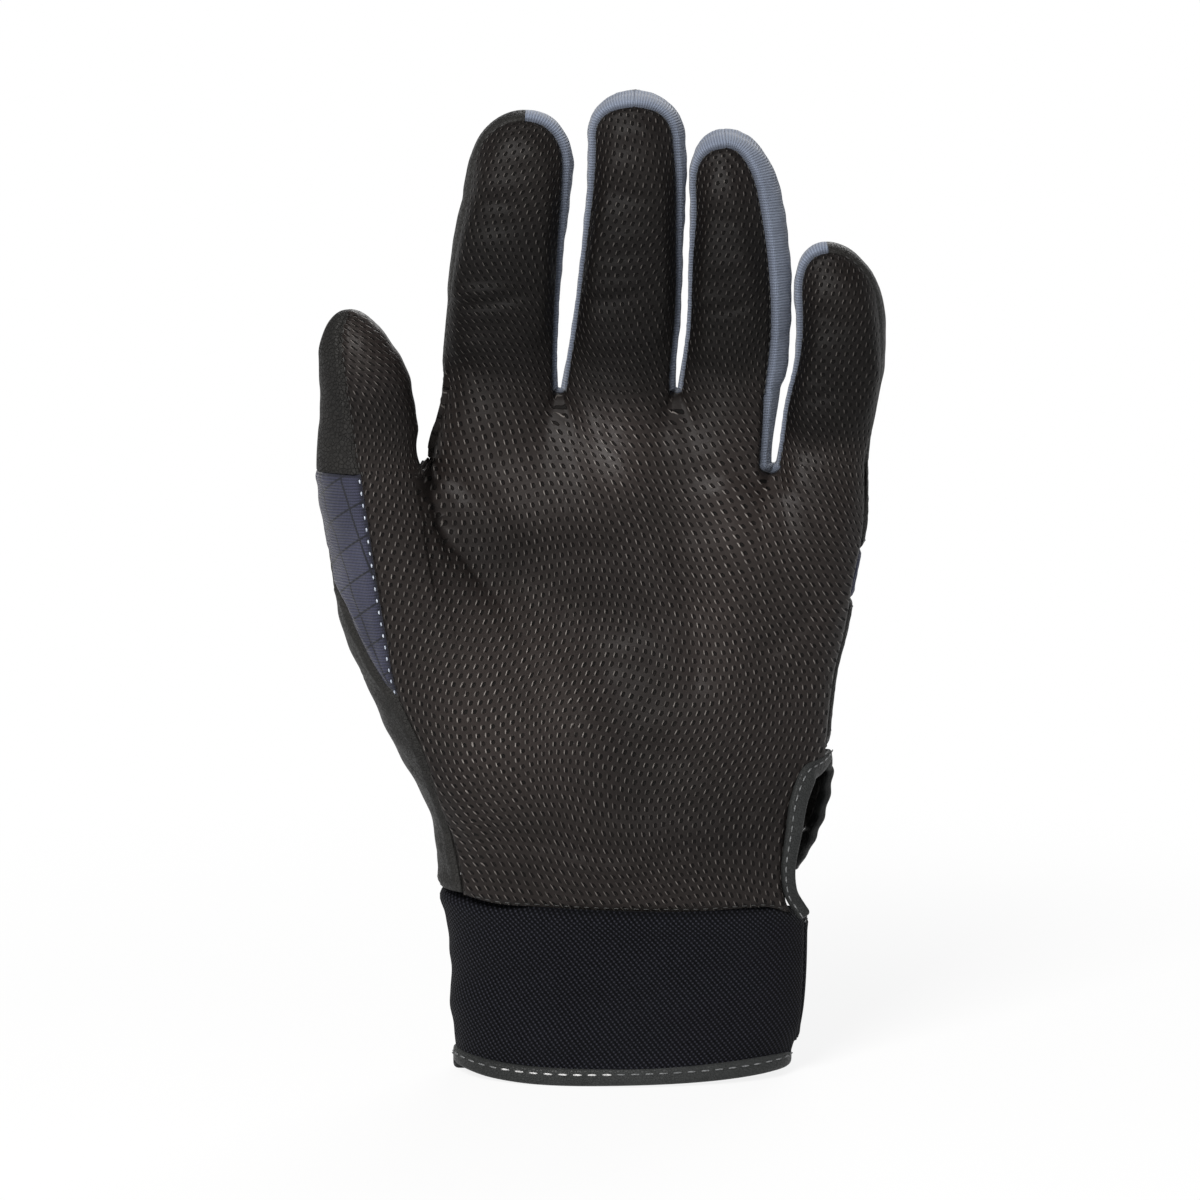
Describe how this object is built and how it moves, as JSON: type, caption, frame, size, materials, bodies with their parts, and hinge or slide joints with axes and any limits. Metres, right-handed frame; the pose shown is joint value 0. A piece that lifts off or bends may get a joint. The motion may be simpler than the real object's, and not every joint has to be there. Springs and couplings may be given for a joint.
{
  "type": "batting glove",
  "caption": "Left-hand batting glove with an embossed leather palm, stretch finger sides, a padded wrist cuff and a hook-and-loop wrist strap.",
  "frame": {"origin": "on the floor under the middle of the bounding box, where the hem of the cuff stands", "axes": "+Z from the hem to the fingertips, -Y is the palm side, -X is the thumb side"},
  "size_m": [0.1256, 0.0468, 0.2205],
  "materials": {
    "palm_leather": "embossed synthetic leather, matt",
    "smooth_leather": "smooth grained synthetic leather",
    "stretch_navy": "ribbed elastic cloth",
    "side_cloth": "ribbed knitted elastic",
    "foam_cloth": "woven cloth on foam",
    "binding": "folded binding tape, stitched",
    "fastener": "hook and loop pile"
  },
  "bodies": {
    "hand": {"palm_leather": "palm_leather", "back_of_hand": "smooth_leather", "knuckle_stretch_band": "stretch_navy", "finger_base_back": "smooth_leather", "thumb_side_panel": "smooth_leather", "thumb_stretch_panel": "stretch_navy", "slit_palm_binding": "binding", "slit_back_binding": "binding", "wrist_cuff": "foam_cloth", "cuff_hem": "binding", "loop_patch": "fastener", "size_label": "stretch_navy"},
    "index_finger": {"index_palm_side": "palm_leather", "index_inner_fourchette": "side_cloth", "index_back": "smooth_leather"},
    "middle_finger": {"middle_palm_side": "palm_leather", "middle_ring_side_fourchette": "side_cloth", "middle_back": "smooth_leather", "middle_index_side_fourchette": "side_cloth"},
    "ring_finger": {"ring_palm_side": "palm_leather", "ring_little_side_fourchette": "side_cloth", "ring_back": "smooth_leather", "ring_middle_side_fourchette": "side_cloth"},
    "little_finger": {"little_palm_side": "palm_leather", "little_back": "smooth_leather", "little_inner_fourchette": "side_cloth"},
    "thumb": {"thumb_palm_side": "palm_leather", "thumb_cap": "smooth_leather"},
    "strap": {"closure_strap": "foam_cloth", "hook_patch": "fastener", "strap_end_tab": "smooth_leather"}
  },
  "joints": [
    {"name": "index_flex", "type": "hinge", "parent": "hand", "child": "index_finger", "pos_m": [-0.02262, -0.0111, 0.15505], "axis": [0.9949, 0, -0.1005], "range_deg": [0, 75], "stiffness_Nm_per_rad": 0.02},
    {"name": "middle_flex", "type": "hinge", "parent": "hand", "child": "middle_finger", "pos_m": [0.00411, -0.0113, 0.15505], "axis": [0.9986, 0, -0.0529], "range_deg": [0, 75], "stiffness_Nm_per_rad": 0.02},
    {"name": "ring_flex", "type": "hinge", "parent": "hand", "child": "ring_finger", "pos_m": [0.02877, -0.0109, 0.15505], "axis": [0.9997, 0, 0.0229], "range_deg": [0, 75], "stiffness_Nm_per_rad": 0.02},
    {"name": "little_flex", "type": "hinge", "parent": "hand", "child": "little_finger", "pos_m": [0.04924, -0.0101, 0.13849], "axis": [0.9998, 0, -0.0184], "range_deg": [0, 75], "stiffness_Nm_per_rad": 0.02},
    {"name": "thumb_flex", "type": "hinge", "parent": "hand", "child": "thumb", "pos_m": [-0.0462, -0.02254, 0.13849], "axis": [0.893, 0.45, 0], "range_deg": [0, 50], "stiffness_Nm_per_rad": 0.02},
    {"name": "strap_open", "type": "hinge", "parent": "hand", "child": "strap", "pos_m": [0.04583, -0.0012, 0.02005], "axis": [0, 0, -1], "range_deg": [0, 120]}
  ]
}
